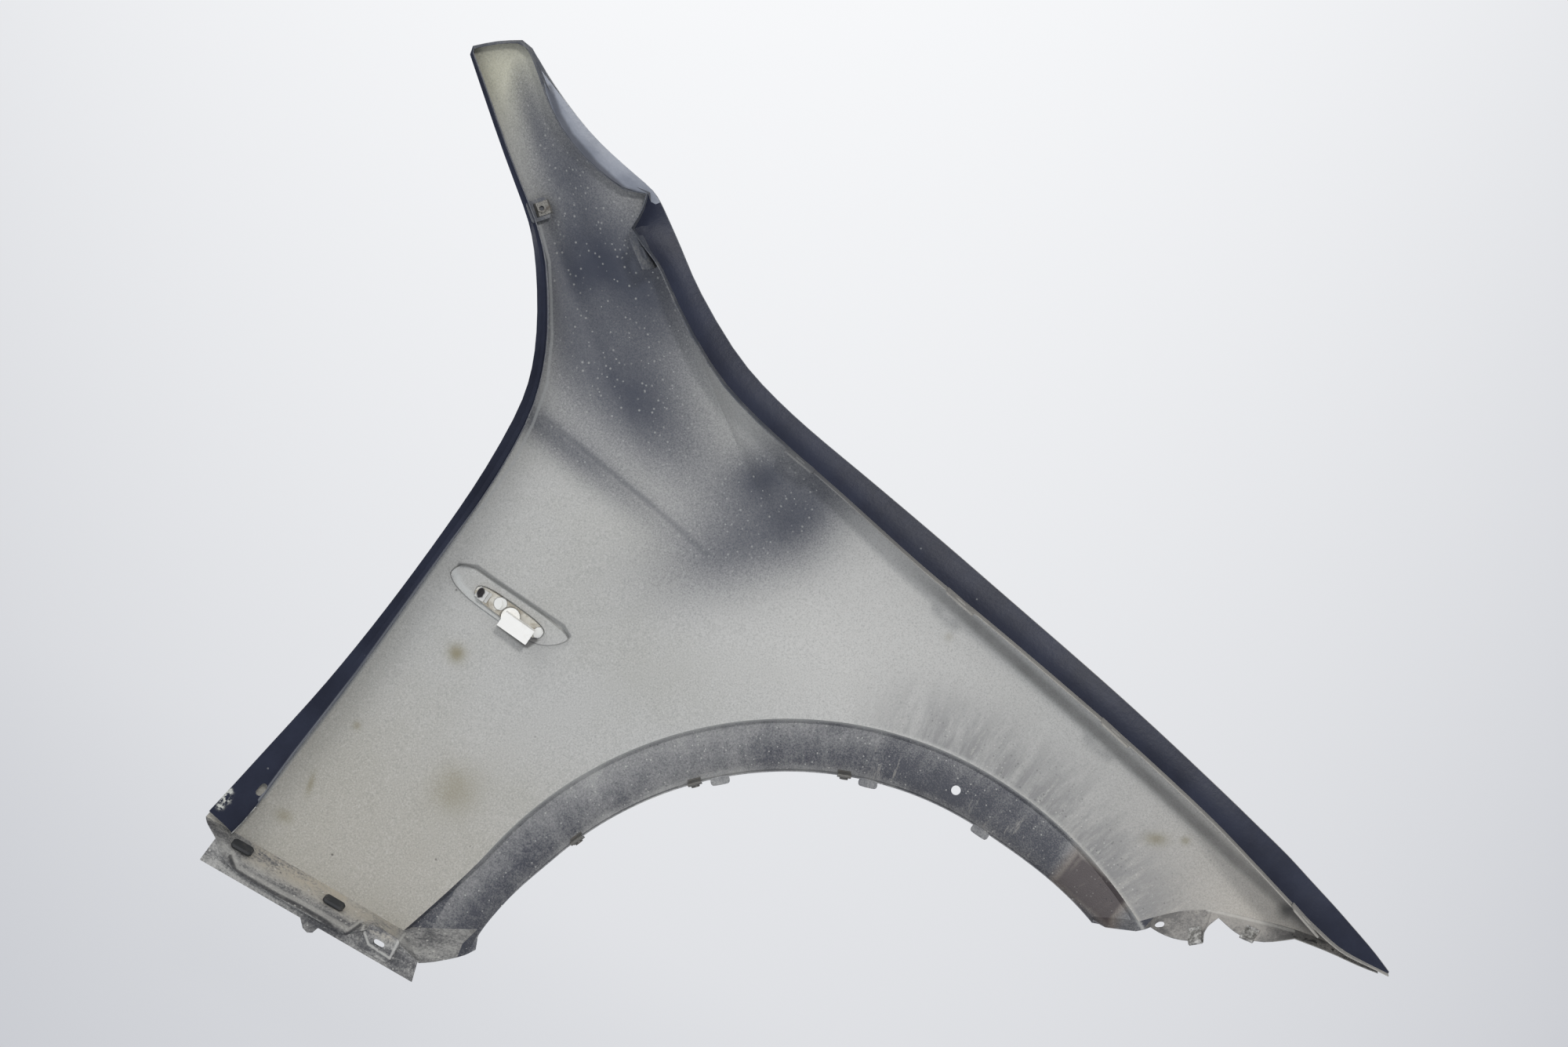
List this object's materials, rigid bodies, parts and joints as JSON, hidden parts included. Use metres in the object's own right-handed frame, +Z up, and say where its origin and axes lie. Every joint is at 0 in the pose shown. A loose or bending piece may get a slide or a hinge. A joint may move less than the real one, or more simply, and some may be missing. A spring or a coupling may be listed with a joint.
{
  "type": "car fender",
  "caption": "Pressed steel front fender of a passenger car, left side, with a wheel arch, folded bolting edges, a windscreen spur, a side marker lamp with its bulb holder, and spring nuts",
  "frame": {"origin": "on the underside of the middle bolt pad of the bonnet side, beside its slot, where the pad rests on the inner wing", "axes": "+X forward to the nose tip, +Y outboard (the car's left), +Z up, as the fender stands on the car"},
  "size_m": [1.0909, 0.1995, 0.7993],
  "materials": {
    "panel_paint": "gloss dark blue-black paint outside and on the folded edges, matt grey primer inside",
    "pale_plastic": "satin",
    "clear_lens": "clear, gloss",
    "bulb_glass": "clear",
    "foam": "matt closed-cell foam",
    "rubber": "matt",
    "spring_steel": "dull spring steel",
    "brass": "satin"
  },
  "bodies": {
    "root": {"fender_panel": "panel_paint", "lamp_lens": "clear_lens", "lamp_gasket": "foam", "lamp_housing": "pale_plastic", "bulb_holder": "pale_plastic", "terminal_live": "brass", "terminal_earth": "brass", "lamp_bulb": "bulb_glass", "lamp_catch": "spring_steel", "arch_nut_1": "spring_steel", "arch_nut_2": "spring_steel", "arch_nut_3": "spring_steel", "nose_nut_1": "spring_steel", "nose_nut_2": "spring_steel", "spur_nut": "spring_steel", "sill_buffer_1": "rubber", "sill_buffer_2": "rubber"}
  },
  "joints": []
}
